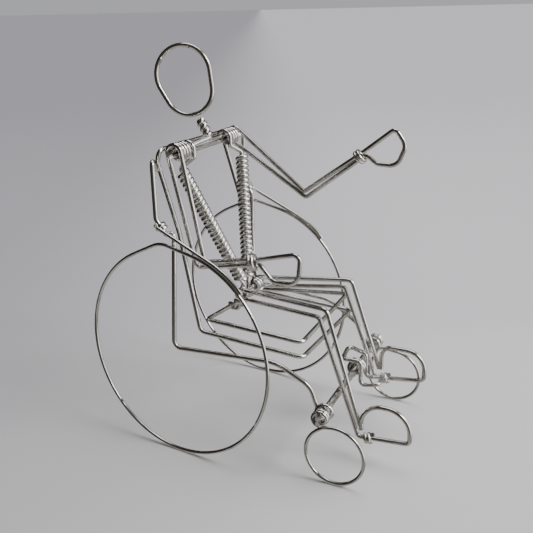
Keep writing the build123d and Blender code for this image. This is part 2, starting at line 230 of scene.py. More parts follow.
def hoop(centre: Vector, right: Vector, up: Vector, radius: float, peak_radius: float, peak: float) -> Run:
    """Make a hoop that is a circle with one rounded peak.

    Args:
        centre: the circle's centre.
        right: unit direction in the hoop's plane.
        up: unit direction from the centre to the peak.
        radius: the circle's radius.
        peak_radius: the peak's own bend radius.
        peak: distance from the centre to the peak's top.

    Returns:
        A closed run whose corners lie on the circle's tangents.
    """
    spread = acos((radius - peak_radius) / (peak - peak_radius))
    apex = peak - peak_radius + peak_radius / cos(spread)
    points = [centre + up * apex]
    rest = (2 * pi - 2 * spread) / 3
    for step in range(3):
        angle = spread + rest * (step + 0.5)
        reach = radius / cos(rest / 2)
        points.append(centre + (right * sin(angle) + up * cos(angle)) * reach)
    return Run(points, [peak_radius] + [radius] * 3, closed=True)


class WireTree:
    """The Geometry Nodes tree that turns bend points and coil axes into round wire."""

    NUMBER_ATTRIBUTES = ("bend", "coil_turns", "coil_radius")

    def __init__(self, shift: Vector) -> None:
        """Build the tree once, for wires that are all moved by a shift in millimetres."""
        self.shift = shift
        self.tree = bpy.data.node_groups.new("bend_and_wind_wire", "GeometryNodeTree")
        self.sockets: dict[str, str] = {}
        graph = Graph(self.tree)
        self._add_inputs()
        source = graph.add("NodeGroupInput", {}, {}, "Wire Path")
        entry = source.link.node
        inputs = {s.name: Socket(graph, s) for s in entry.outputs if s.name}
        curve = graph.add("GeometryNodeMeshToCurve", {}, {"Mesh": inputs["Wire Path"]})
        wound = self._named(graph, "coil_radius", "FLOAT").greater(0.0)
        split = graph.add(
            "GeometryNodeSeparateGeometry", {"domain": "CURVE"}, {"Geometry": curve, "Selection": wound}, "Inverted"
        )
        coils = Socket(graph, split.link.node.outputs["Selection"])
        bent = self._bent(graph, split, inputs)
        helix = self._wound(graph, coils, inputs)
        join = graph.tree.nodes.new("GeometryNodeJoinGeometry")
        for part in (bent, helix):
            graph.tree.links.new(part.link, join.inputs[0])
        wire = self._skin(graph, Socket(graph, join.outputs[0]), inputs)
        graph.add("NodeGroupOutput", {}, {"Wire": wire})

    def _add_inputs(self) -> None:
        face = self.tree.interface
        face.new_socket("Wire Path", in_out="INPUT", socket_type="NodeSocketGeometry")
        for name, kind in (
            ("Wire Radius", "NodeSocketFloat"),
            ("Ring Sides", "NodeSocketInt"),
            ("Steps per Bend", "NodeSocketInt"),
            ("Steps per Turn", "NodeSocketInt"),
            ("Wire Finish", "NodeSocketMaterial"),
        ):
            self.sockets[name] = face.new_socket(name, in_out="INPUT", socket_type=kind).identifier
        face.new_socket("Wire", in_out="OUTPUT", socket_type="NodeSocketGeometry")

    @staticmethod
    def _named(graph: Graph, name: str, kind: str) -> Socket:
        """Read a point's own value by name."""
        return graph.add("GeometryNodeInputNamedAttribute", {"data_type": kind}, {"Name": name}, "Attribute")

    def _bent(self, graph: Graph, curve: Socket, inputs: dict[str, Socket]) -> Socket:
        """Round the corners of the bent stretches, with more steps in a wider bend."""
        bend = self._named(graph, "bend", "FLOAT")
        steps = inputs["Steps per Bend"] + bend * 1900.0
        return graph.add(
            "GeometryNodeFilletCurve",
            {"mode": "POLY"},
            {"Curve": curve, "Count": steps, "Radius": bend, "Limit Radius": True},
        )

    def _wound(self, graph: Graph, curve: Socket, inputs: dict[str, Socket]) -> Socket:
        """Wind each coil's axis into a helix."""
        turns = self._named(graph, "coil_turns", "FLOAT")
        size = graph.add("ShaderNodeMath", {"operation": "ABSOLUTE"}, {0: turns})
        fine = graph.add(
            "GeometryNodeResampleCurve",
            {"mode": "COUNT"},
            {"Curve": curve, "Count": size * inputs["Steps per Turn"] + 2.0},
        )
        share = graph.add("GeometryNodeSplineParameter", {}, {}, "Factor")
        angle = turns * share * (2 * pi)
        start = self._named(graph, "coil_start", "FLOAT_VECTOR")
        tangent = graph.add("GeometryNodeInputTangent", {}, {})
        side = graph.add("ShaderNodeVectorMath", {"operation": "CROSS_PRODUCT"}, {0: tangent, 1: start})
        radius = self._named(graph, "coil_radius", "FLOAT")
        moves = []
        for direction, wave in ((start, "COSINE"), (side, "SINE")):
            reach = graph.add("ShaderNodeMath", {"operation": wave}, {0: angle}) * radius
            moves.append(graph.add("ShaderNodeVectorMath", {"operation": "SCALE"}, {0: direction, "Scale": reach}))
        offset = graph.add("ShaderNodeVectorMath", {"operation": "ADD"}, {0: moves[0], 1: moves[1]})
        return graph.add("GeometryNodeSetPosition", {}, {"Geometry": fine, "Offset": offset})

    def _skin(self, graph: Graph, curve: Socket, inputs: dict[str, Socket]) -> Socket:
        """Give the line its round skin, and keep how far along and how far round each point is."""
        length = graph.add("GeometryNodeSplineParameter", {}, {}, "Length")
        line = graph.add(
            "GeometryNodeStoreNamedAttribute",
            {"data_type": "FLOAT", "domain": "POINT"},
            {"Geometry": curve, "Name": "along", "Value": length},
        )
        circle = graph.add(
            "GeometryNodeCurvePrimitiveCircle",
            {"mode": "RADIUS"},
            {"Resolution": inputs["Ring Sides"], "Radius": inputs["Wire Radius"]},
        )
        place = graph.add("GeometryNodeInputPosition", {}, {})
        unit = graph.add(
            "ShaderNodeVectorMath", {"operation": "SCALE"}, {0: place, "Scale": 1.0 / inputs["Wire Radius"]}
        )
        ring = graph.add(
            "GeometryNodeStoreNamedAttribute",
            {"data_type": "FLOAT_VECTOR", "domain": "POINT"},
            {"Geometry": circle, "Name": "ring", "Value": unit},
        )
        tube = graph.add(
            "GeometryNodeCurveToMesh", {}, {"Curve": line, "Profile Curve": ring, "Fill Caps": True}
        )
        corners = graph.add("GeometryNodeInputMeshFaceNeighbors", {}, {}, "Vertex Count")
        smooth = graph.add(
            "GeometryNodeSetShadeSmooth",
            {"domain": "FACE"},
            {"Geometry": tube, "Selection": corners.greater(4.5), "Shade Smooth": False},
        )
        solid = graph.add("GeometryNodeRealizeInstances", {}, {"Geometry": smooth})
        return graph.add(
            "GeometryNodeSetMaterial", {}, {"Geometry": solid, "Material": inputs["Wire Finish"]}
        )

    def make(self, name: str, stretches: list[Stretch], gauge: float, finish: bpy.types.Material) -> bpy.types.Object:
        """Make one piece of wire as a plain mesh.

        Args:
            name: the piece's name.
            stretches: its runs and coils, in the row frame in millimetres.
            gauge: the wire's diameter in millimetres.
            finish: the wire's material.

        Returns:
            An object at the origin with its place in its mesh.
        """
        path = self._path_mesh(name, stretches)
        maker = bpy.data.objects.new(name + "_path", path)
        bpy.context.scene.collection.objects.link(maker)
        winder = maker.modifiers.new("wire", "NODES")
        winder.node_group = self.tree
        settings = {
            "Wire Radius": gauge / 2 * MM,
            "Ring Sides": RING_SIDES,
            "Steps per Bend": STEPS_PER_BEND,
            "Steps per Turn": STEPS_PER_TURN,
            "Wire Finish": finish,
        }
        for socket, value in settings.items():
            winder[self.sockets[socket]] = value
        ready = maker.evaluated_get(bpy.context.evaluated_depsgraph_get())
        mesh = bpy.data.meshes.new_from_object(ready)
        bpy.data.objects.remove(maker)
        mesh.name = name
        for spare in self.NUMBER_ATTRIBUTES + ("coil_start",):
            if spare in mesh.attributes:
                mesh.attributes.remove(mesh.attributes[spare])
        piece = bpy.data.objects.new(name, mesh)
        bpy.context.scene.collection.objects.link(piece)
        return piece

    def _path_mesh(self, name: str, stretches: list[Stretch]) -> bpy.types.Mesh:
        """Put every stretch's points and edges, and what each point carries, in one mesh."""
        points: list[Vector] = []
        edges: list[tuple[int, int]] = []
        facts: list[dict[str, Any]] = []
        for stretch in stretches:
            chain, carried, closed = stretch.chain()
            first = len(points)
            count = len(chain)
            points += [(point + self.shift) * MM for point in chain]
            facts += carried
            edges += [(first + i, first + i + 1) for i in range(count - 1)]
            if closed:
                edges.append((first + count - 1, first))
        mesh = bpy.data.meshes.new(name + "_path")
        mesh.from_pydata(points, edges, [])
        for key in self.NUMBER_ATTRIBUTES:
            layer = mesh.attributes.new(key, "FLOAT", "POINT")
            layer.data.foreach_set("value", [fact.get(key, 0.0) for fact in facts])
        layer = mesh.attributes.new("coil_start", "FLOAT_VECTOR", "POINT")
        flat = [number for fact in facts for number in fact.get("coil_start", (0.0, 0.0, 0.0))]
        layer.data.foreach_set("vector", flat)
        return mesh


RING_SIDES = 18
STEPS_PER_BEND = 8
STEPS_PER_TURN = 30


# ---------------------------------------------------------------- finishes
@dataclass(frozen=True)
class WireFinish:
    """A bright drawn wire: lines along it from the die, dull patches, and small nips from pliers."""

    name: str
    bright: tuple[float, float, float]
    dull: tuple[float, float, float]
    roughness: float
    patch_size: float = 5.0
    line_depth: float = 0.06
    nip_share: float = 0.06

    def build(self) -> bpy.types.Material:
        """Make the material.

        Returns:
            The material, which reads the wire's own along and ring values.
        """
        material = bpy.data.materials.new(self.name)
        material.use_nodes = True
        graph = Graph(material.node_tree)
        along = graph.add("ShaderNodeAttribute", {"attribute_name": "along"}, {}, "Fac") * (1 / MM)
        ring = graph.add("ShaderNodeAttribute", {"attribute_name": "ring"}, {}, "Vector")
        place = graph.add("ShaderNodeTexCoord", {}, {}, "Object")
        lines = self._noise(graph, self._wire_place(graph, ring, along, 5.0, 0.05), 1.0, 3.0)
        waves = self._noise(graph, self._wire_place(graph, ring, along, 0.35, 0.16), 1.0, 2.0)
        patches = self._noise(graph, place, 1000.0 / self.patch_size, 3.0)
        nips = graph.add(
            "ShaderNodeTexVoronoi",
            {"feature": "F1"},
            {"Vector": self._wire_place(graph, ring, along, 0.9, 0.55), "Scale": 1.0, "Randomness": 1.0},
            "Distance",
        )
        nip = graph.add(
            "ShaderNodeMapRange",
            {"interpolation_type": "SMOOTHSTEP"},
            {"Value": nips, "From Min": self.nip_share, "From Max": self.nip_share + 0.12, "To Min": 1.0, "To Max": 0.0},
        )
        dullness = graph.add(
            "ShaderNodeMapRange",
            {"interpolation_type": "SMOOTHSTEP"},
            {"Value": patches, "From Min": 0.42, "From Max": 0.72, "To Min": 0.0, "To Max": 1.0},
        )
        colour = graph.add(
            "ShaderNodeMix",
            {"data_type": "RGBA"},
            {"Factor": dullness * 0.65 + nip * 0.3, 6: (*self.bright, 1.0), 7: (*self.dull, 1.0)},
            2,
        )
        roughness = self.roughness + lines * 0.07 + dullness * 0.1 + nip * 0.12
        height = lines * self.line_depth + waves * 0.5 - nip * 0.5
        bump = graph.add(
            "ShaderNodeBump", {}, {"Strength": 0.16, "Distance": 0.05 * MM, "Height": height}, "Normal"
        )
        shader = graph.add(
            "ShaderNodeBsdfPrincipled",
            {},
            {"Base Color": colour, "Metallic": 1.0, "Roughness": roughness, "Normal": bump},
        )
        graph.add("ShaderNodeOutputMaterial", {}, {"Surface": shader})
        return material

    @staticmethod
    def _wire_place(graph: Graph, ring: Socket, along: Socket, round_scale: float, along_scale: float) -> Socket:
        """Place on the wire's skin, as a vector that has no seam round the wire."""
        across = graph.add("ShaderNodeVectorMath", {"operation": "SCALE"}, {0: ring, "Scale": round_scale})
        lengthwise = graph.add("ShaderNodeCombineXYZ", {}, {"Z": along * along_scale})
        return graph.add("ShaderNodeVectorMath", {"operation": "ADD"}, {0: across, 1: lengthwise})

    @staticmethod
    def _noise(graph: Graph, vector: Socket, scale: float, detail: float) -> Socket:
        """A noise value at a place."""
        return graph.add(
            "ShaderNodeTexNoise", {}, {"Vector": vector, "Scale": scale, "Detail": detail, "Roughness": 0.55}, 0
        )


@dataclass(frozen=True)
class FloorFinish:
    """Pale paper with painted light and shade: darker on the side away from the window lamp, a little darker in a
    band behind the object (painted shade that stands in for the paper rising into a wall, though this floor is flat),
    and darker far away (painted falloff of the light).
    """

    name: str = "pale_paper"
    # Painted shade and painted light: the floor's colour on the side away from the window lamp, then on the side
    # towards it.
    painted_shade_side: tuple[float, float, float] = (0.51, 0.50, 0.53)
    painted_lit_side: tuple[float, float, float] = (0.93, 0.92, 0.94)
    # Painted shade: a slightly darker, bluer tone for a band behind the object, which stands in for the shade of a
    # paper wall; the floor itself stays flat.
    rise: tuple[float, float, float] = (0.93, 0.93, 0.96)
    # Painted shade: the tone that the floor fades to far from the object, standing in for the light falling off with
    # distance.
    distance: tuple[float, float, float] = (0.86, 0.85, 0.86)
    roughness: float = 0.75
    edge_start: float = 0.046
    edge_end: float = 0.085
    far_start: float = 0.10
    far_end: float = 0.90
    side_start: float = -0.16
    side_end: float = 0.10

    def build(self, away: Vector, right: Vector) -> bpy.types.Material:
        """Make the material.

        Args:
            away: level direction from the camera to behind the object.
            right: level direction to the side with the painted light, towards the window lamp.

        Returns:
            The material.
        """
        material = bpy.data.materials.new(self.name)
        material.use_nodes = True
        graph = Graph(material.node_tree)
        place = graph.add("ShaderNodeTexCoord", {}, {}, "Object")
        # Painted shade: the colour darkens towards the side away from the window lamp, in place of the real fall-off
        # of its light.
        sides = self._blend(graph, place, right, self.side_start, self.side_end)
        tone = self._mix(graph, sides, (*self.painted_shade_side, 1.0), (*self.painted_lit_side, 1.0))
        # Painted shade in a band behind the object, in place of a paper wall's shade.
        behind = self._blend(graph, place, away, self.edge_start, self.edge_end)
        shade = self._mix(graph, behind, (1.0, 1.0, 1.0, 1.0), (*self.rise, 1.0))
        # Painted shade: the floor darkens far away, as if its light fell off with distance.
        far = self._blend(graph, place, away, self.far_start, self.far_end)
        painted_falloff = self._mix(graph, far, (1.0, 1.0, 1.0, 1.0), (*self.distance, 1.0))
        colour = self._multiply(graph, self._multiply(graph, tone, shade), painted_falloff)
        grain = graph.add("ShaderNodeTexNoise", {}, {"Vector": place, "Scale": 900.0, "Detail": 4.0}, 0)
        bump = graph.add("ShaderNodeBump", {}, {"Strength": 0.12, "Distance": 0.05 * MM, "Height": grain}, "Normal")
        shader = graph.add(
            "ShaderNodeBsdfPrincipled",
            {},
            {"Base Color": colour, "Roughness": self.roughness, "Normal": bump},
        )
        graph.add("ShaderNodeOutputMaterial", {}, {"Surface": shader})
        return material

    @staticmethod
    def _blend(graph: Graph, place: Socket, towards: Vector, start: float, end: float) -> Socket:
        """A share that rises from 0 to 1 between two distances in a direction."""
        depth = graph.add("ShaderNodeVectorMath", {"operation": "DOT_PRODUCT"}, {0: place, 1: towards}, "Value")
        return graph.add(
            "ShaderNodeMapRange",
            {"interpolation_type": "SMOOTHSTEP"},
            {"Value": depth, "From Min": start, "From Max": end, "To Min": 0.0, "To Max": 1.0},
        )

    @staticmethod
    def _multiply(graph: Graph, first: Socket, second: Socket) -> Socket:
        """Multiply two colours."""
        settings = {"data_type": "RGBA", "blend_type": "MULTIPLY"}
        return graph.add("ShaderNodeMix", settings, {"Factor": 1.0, 6: first, 7: second}, 2)

    @staticmethod
    def _mix(graph: Graph, share: Socket, low: tuple[float, ...], high: tuple[float, ...]) -> Socket:
        """Mix two colours."""
        return graph.add("ShaderNodeMix", {"data_type": "RGBA"}, {"Factor": share, 6: low, 7: high}, 2)


# ---------------------------------------------------------------- shared sizes
@dataclass(frozen=True)
class Sizes:
    """Sizes that several sub-assemblies share."""

    wire: float = 1.3
    thin_wire: float = 1.0
    snug: float = 0.02
    turning_fit: float = 0.04
    wheel_radius: float = 30.0
    wheel_turn: float = 5.5
    toe_y: float = -62.6
    shoulder_y: float = 3.7
    shoulder_height: float = 84.4
    shoulder_half_width: float = 18.8
    hip_y: float = -8.6
    hip_height: float = 41.4
    back_half_width: float = 18.4

    @property
    def radius(self) -> float:
        """Radius of the frame's wire."""
        return self.wire / 2

    @property
    def thin_radius(self) -> float:
        """Radius of the wheels' wire."""
        return self.thin_wire / 2

    @property
    def bundle(self) -> float:
        """Radius of a bundle of two strands, which is also the pitch of a closed coil."""
        return self.wire + self.snug

    @property
    def coil_radius(self) -> float:
        """Mean radius of a coil that turns on a bundle."""
        return self.bundle + self.turning_fit + self.radius

    @property
    def axle_y(self) -> float:
        """Place of the wheels' centres in the row frame."""
        rear = self.wheel_radius * cos(radians(self.wheel_turn)) + self.thin_radius
        return (self.radius - self.toe_y - rear) / 2

    def place(self, x: float, y: float, z: float) -> Vector:
        """Put a point, with y counted from the wheels' centres, into the row frame."""
        return Vector((x, y + self.axle_y, z))

    def shoulder(self, x: float = 0.0) -> Vector:
        """Middle of the shoulder bundle at this x."""
        return self.place(x, self.shoulder_y, self.shoulder_height)


SIZES = Sizes()


def part_shift() -> Vector:
    """Millimetres from this file's frame, round the wheels, to the model's, which is centred on its box."""
    low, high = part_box("shoulder_bar")
    middle = (low + high) / (2 * MM)
    return Vector((middle.x, middle.y - SIZES.shoulder().y, 0))


@dataclass
class Workshop:
    """What makes pieces and ties them to the CAD model."""

    tree: WireTree
    finishes: dict[Slot, bpy.types.Material]

    def add(self, node: str, body: str, slot: Slot, stretches: list[Stretch], gauge: float = SIZES.wire) -> None:
        """Make a piece that stands for a CAD node.

        Args:
            node: the CAD node that it stands for.
            body: the CAD body that it moves with.
            slot: the record's material slot.
            stretches: the piece's runs and coils.
            gauge: the wire's diameter.
        """
        piece = self.tree.make(node + "_strand", stretches, gauge, self.finishes[slot])
        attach(piece, body)
        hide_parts(node)
        log.info("%s: %d faces on %s", piece.name, len(piece.data.polygons), body)


# ---------------------------------------------------------------- sub-assemblies
@dataclass
class FrontBar:
    """Two strands across the front that the casters, side frames and footrest hang on."""

    bar_y: dict[str, float] = field(default_factory=lambda: {"right": -42.45, "left": -40.1})
    half_track: float = 25.75
    overhang: float = 2.1
    caster_radius: float = 8.2
    caster_lead: dict[str, float] = field(default_factory=lambda: {"right": 4.0, "left": 6.3})
    caster_peak_rise: dict[str, float] = field(default_factory=lambda: {"right": 0.13, "left": 1.45})
    caster_peak_radius: float = 2.6
    caster_turns: int = 2
    hang: dict[str, Vector] = field(default_factory=dict)

    def __post_init__(self) -> None:
        """Work out where the casters hold the bar."""
        s = SIZES
        self.caster_coil = s.bundle + s.turning_fit + s.thin_radius
        self.caster_height = self.caster_radius + s.thin_radius
        for side, sign in SIDES.items():
            reach = self.caster_radius + self.caster_peak_rise[side] + self.caster_coil + s.thin_wire + s.snug
            height = self.caster_height + (reach**2 - self.caster_lead[side] ** 2) ** 0.5
            self.hang[side] = s.place(sign * self.half_track, self.bar_y[side], height)
        self.axis = (self.hang["left"] - self.hang["right"]).normalized()
        self.rise = self.axis.cross(Vector((0, -1, 0))).normalized()
        self.right_end = self.hang["right"] - self.axis * self.overhang
        self.left_end = self.hang["left"] + self.axis * self.overhang

    def point(self, x: float) -> Vector:
        """Point of the bar's middle line at this x."""
        share = (x - self.right_end.x) / (self.left_end.x - self.right_end.x)
        return self.right_end.lerp(self.left_end, share)

    def build(self, shop: Workshop) -> None:
        """Make the two strands, and the casters that hang on them."""
        shift = self.rise * (SIZES.radius + SIZES.snug / 2)
        for name, move in (("front_bar_upper", shift), ("front_bar_lower", -shift)):
            run = Run([self.right_end + move, self.left_end + move], [])
            shop.add(name, "chair", Slot.CHAIR, [run])
        for side, sign in SIDES.items():
            self._build_caster(shop, side, sign)

    def _build_caster(self, shop: Workshop, side: str, sign: int) -> None:
        """Make one caster hoop and the coil that it hangs by."""
        hang = self.hang[side]
        centre = Vector((sign * self.half_track, hang.y - self.caster_lead[side], self.caster_height))
        up = (hang - centre).normalized()
        peak = self.caster_radius + self.caster_peak_rise[side]
        ring = hoop(centre, up.cross(X_AXIS).normalized(), up, self.caster_radius, self.caster_peak_radius, peak)
        shop.add(f"{side}_caster", f"{side}_caster_group", Slot.WHEEL, [ring], SIZES.thin_wire)
        coil = Coil(hang, self.axis, self.rise, self.caster_coil, self.caster_turns, SIZES.thin_wire + SIZES.snug)
        shop.add(f"{side}_caster_hanger", f"{side}_caster_group", Slot.WHEEL, [coil], SIZES.thin_wire)


@dataclass
class SeatAndBack:
    """The wire that is both backrest and seat, and the loop laid on it."""

    profile: tuple[tuple[float, float], ...] = (
        (7.6, 85.2),
        (8.4, 81.8),
        (2.7, 62.7),
        (-2.6, 33.9),
        (-34.2, 31.7),
    )
    bends: tuple[float, ...] = (1.8, 3.0, 30.0, 1.8, 1.8)
    loop_rear: dict[str, tuple[float, float]] = field(
        default_factory=lambda: {"right": (-4.0, 37.3), "left": (-4.0, 35.0)}
    )
    loop_front: dict[str, tuple[float, float]] = field(
        default_factory=lambda: {"right": (-33.5, 35.4), "left": (-33.5, 37.6)}
    )
    loop_bend: float = 1.6

    def loop_corner(self, side: str, ends: dict[str, tuple[float, float]]) -> Vector:
        """Corner of the seat loop."""
        half = SIZES.back_half_width - SIZES.wire - 2 * SIZES.snug
        return SIZES.place(SIDES[side] * half, *ends[side])

    def post_point(self, sign: int, height: float) -> Vector:
        """Point of a backrest post between its two bends."""
        (top_y, top_z), (low_y, low_z) = self.profile[1], self.profile[2]
        share = (height - low_z) / (top_z - low_z)
        return SIZES.place(sign * SIZES.back_half_width, low_y + share * (top_y - low_y), height)

    def build(self, shop: Workshop) -> None:
        """Make the wire and the loop."""
        half = SIZES.back_half_width
        right = [SIZES.place(-half, y, z) for y, z in self.profile]
        left = [SIZES.place(half, y, z) for y, z in reversed(self.profile)]
        bends = list(self.bends) + list(reversed(self.bends))
        shop.add("seat_and_back_wire", "chair", Slot.CHAIR, [Run(right + left, bends, closed=True)])
        rear_right = self.loop_corner("right", self.loop_rear)
        rear_left = self.loop_corner("left", self.loop_rear)
        joint = (rear_right + rear_left) / 2
        gap = (rear_left - rear_right).normalized() * (SIZES.snug / 2)
        corners = [rear_right, self.loop_corner("right", self.loop_front)]
        corners += [self.loop_corner("left", self.loop_front), rear_left]
        loop = Run([joint - gap] + corners + [joint + gap], [self.loop_bend] * 4)
        shop.add("seat_loop", "chair", Slot.CHAIR, [loop])


@dataclass
class SideFrames:
    """The two side frames, and the big wheels that hang on their slanted runs."""

    bar: FrontBar
    seat: SeatAndBack
    half_width: float = 24.9
    toe_in: float = 0.0778
    stub_drop: float = 1.8
    hook_turns: float = 1.25
    uppers: dict[str, list[tuple[float, float]]] = field(
        default_factory=lambda: {
            "right": [(5.3, 84.3), (5.3, 67.9), (2.4, 63.7), (0.0, 65.0), (2.3, 30.8)],
            "left": [(5.3, 84.3), (5.3, 67.9), (2.6, 64.0), (3.0, 33.8)],
        }
    )
    fronts: dict[str, list[tuple[float, float]]] = field(
        default_factory=lambda: {
            "right": [(-28.4, 31.0), (-38.0, 25.6)],
            "left": [(-25.6, 32.3), (-35.6, 25.8)],
        }
    )
    bends: dict[str, list[float]] = field(
        default_factory=lambda: {
            "right": [1.2, 2.2, 0.7, 1.0, 2.2, 12.0, 6.0],
            "left": [1.2, 2.2, 2.2, 2.2, 12.0, 6.0],
        }
    )
    hanger_share: dict[str, float] = field(default_factory=lambda: {"right": 0.47, "left": 0.5})
    hanger_turns: int = 2
    camber: float = 1.2
    peak_radius: float = 8.0
    peak_rise: float = 1.2
    overlap_end: float = 46.0
    wheel_gap: float = 0.22

    def point(self, sign: int, y: float, z: float) -> Vector:
        """Put a point on the upright plane of one side frame."""
        return SIZES.place(sign * (self.half_width + self.toe_in * y), y, z)

    def build(self, shop: Workshop) -> None:
        """Make both side frames and both wheels."""
        for side, sign in SIDES.items():
            uppers = [self.point(sign, y, z) for y, z in self.uppers[side]]
            self._build_frame(shop, side, sign, uppers)
            self._build_wheel(shop, side, sign, uppers[1], uppers[2])

    def _build_frame(self, shop: Workshop, side: str, sign: int, uppers: list[Vector]) -> None:
        """Make one side frame, from the backrest to its hook round the front bar."""
        s = SIZES
        shoulder_height = self.seat.profile[1][1]
        stub = self.seat.post_point(sign, shoulder_height - self.stub_drop) + X_AXIS * (sign * s.bundle)
        fronts = [self.point(sign, y, z) for y, z in self.fronts[side]]
        start_x = sign * (self.half_width + self.toe_in * self.bar.bar_y[side])
        outward = self.bar.axis * sign
        hook_radius = s.bundle + s.snug + s.radius
        middle = self.bar.point(start_x) + outward * (self.hook_turns * s.bundle / 2)
        last = fronts[-1] - self.bar.point(start_x)
        angle = atan2(last.z, last.y) - acos(hook_radius / (last.y**2 + last.z**2) ** 0.5)
        lay = Lay.LEFT_HANDED if sign > 0 else Lay.RIGHT_HANDED
        start = Vector((0, cos(angle), sin(angle)))
        hook = Coil(middle, outward, start, hook_radius, self.hook_turns, s.bundle, lay)
        run = Run([stub] + uppers + fronts + [hook.first_point()], self.bends[side])
        shop.add(f"{side}_side_frame", "chair", Slot.CHAIR, [run, hook])

    def _build_wheel(self, shop: Workshop, side: str, sign: int, top: Vector, foot: Vector) -> None:
        """Make one wheel hoop, and the coil and overlapping end that it hangs by."""
        s = SIZES
        hanger_axis = (foot - top).normalized()
        hanger_radius = s.radius + s.turning_fit + s.thin_radius
        hanger = top.lerp(foot, self.hanger_share[side])
        forward = Vector((-sin(radians(s.wheel_turn)), -cos(radians(s.wheel_turn)), 0))
        level = Z_AXIS.cross(forward)
        camber = radians(self.camber)
        outboard = level * (sign * cos(camber)) + Vector((0, 0, sin(camber)))
        hub = s.place(0, 0, s.wheel_radius + s.thin_radius)
        shift = (outboard.dot(hanger - hub) + hanger_radius + self.wheel_gap) / outboard.x
        hub = hub + X_AXIS * shift
        normal = (outboard * -sign).normalized()
        x_dir = (forward - normal * forward.dot(normal)).normalized()
        y_dir = normal.cross(x_dir)
        local_x, local_y = (hanger - hub).dot(x_dir), (hanger - hub).dot(y_dir)
        lean = atan2(local_x, local_y)
        up = y_dir * cos(lean) + x_dir * sin(lean)
        right = x_dir * cos(lean) - y_dir * sin(lean)
        ring = hoop(hub, right, up, s.wheel_radius, self.peak_radius, s.wheel_radius + self.peak_rise)
        shop.add(f"{side}_wheel", f"{side}_wheel_group", Slot.WHEEL, [ring], s.thin_wire)
        overlap = s.wheel_radius + s.thin_wire + s.snug
        distance = (local_x**2 + local_y**2) ** 0.5
        tangent = lean + acos(overlap / distance)
        end = radians(self.overlap_end)
        turn = end - tangent

        def on_plane(angle: float, reach: float) -> Vector:
            """Point of the wheel's plane at an angle from its up direction."""
            return hub + (x_dir * sin(angle) + y_dir * cos(angle)) * reach

        corner = on_plane((end + tangent) / 2, overlap / cos(turn / 2))
        tail = Run([on_plane(end, overlap), corner, hub + x_dir * local_x + y_dir * local_y], [overlap])
        start = outboard - hanger_axis * outboard.dot(hanger_axis)
        coil = Coil(hanger, hanger_axis, start, hanger_radius, self.hanger_turns, s.thin_wire + s.snug)
        shop.add(f"{side}_wheel_hanger", f"{side}_wheel_group", Slot.WHEEL, [coil, tail], s.thin_wire)


@dataclass
class Footrest:
    """The bent plate that hangs in front of the bar, and the coil that it turns by."""

    bar: FrontBar
    legs_x: tuple[float, float] = (3.4, 8.9)
    drop: float = 4.3
    reach: float = 7.4
    tilt: float = 1.1
    bridge_x: tuple[float, float] = (3.3, 12.2)
    bridge_y: tuple[float, float] = (3.6, 4.6)
    bridge_rise: float = 3.2
    bend: float = 1.2
    turns: float = 2.4

    def build(self, shop: Workshop) -> None:
        """Make the plate's wire and the coil."""
        halves = []
        for leg_x, bridge_x, bridge_y in zip(self.legs_x, self.bridge_x, self.bridge_y):
            over = self.bar.point(leg_x)
            leg_y = over.y - SIZES.coil_radius
            half = [
                Vector((leg_x, over.y - self.reach, over.z - self.drop + self.tilt)),
                Vector((leg_x, leg_y, over.z - self.drop)),
                Vector((leg_x, leg_y, over.z + self.bridge_rise)),
                self.bar.point(bridge_x) + Vector((0, bridge_y, self.bridge_rise)),
            ]
            halves.append(half)
        joint = halves[0][0].lerp(halves[1][0], 0.5)
        gap = (halves[1][0] - halves[0][0]).normalized() * (SIZES.snug / 2)
        points = [joint - gap] + halves[0] + halves[1][::-1] + [joint + gap]
        shop.add("footrest", "footrest_group", Slot.CHAIR, [Run(points, [self.bend] * 8)])
        middle = self.bar.point(sum(self.legs_x) / 2)
        coil = Coil(middle, self.bar.axis, self.bar.rise, SIZES.coil_radius, self.turns, SIZES.bundle)
        shop.add("footrest_coil", "footrest_group", Slot.CHAIR, [coil])


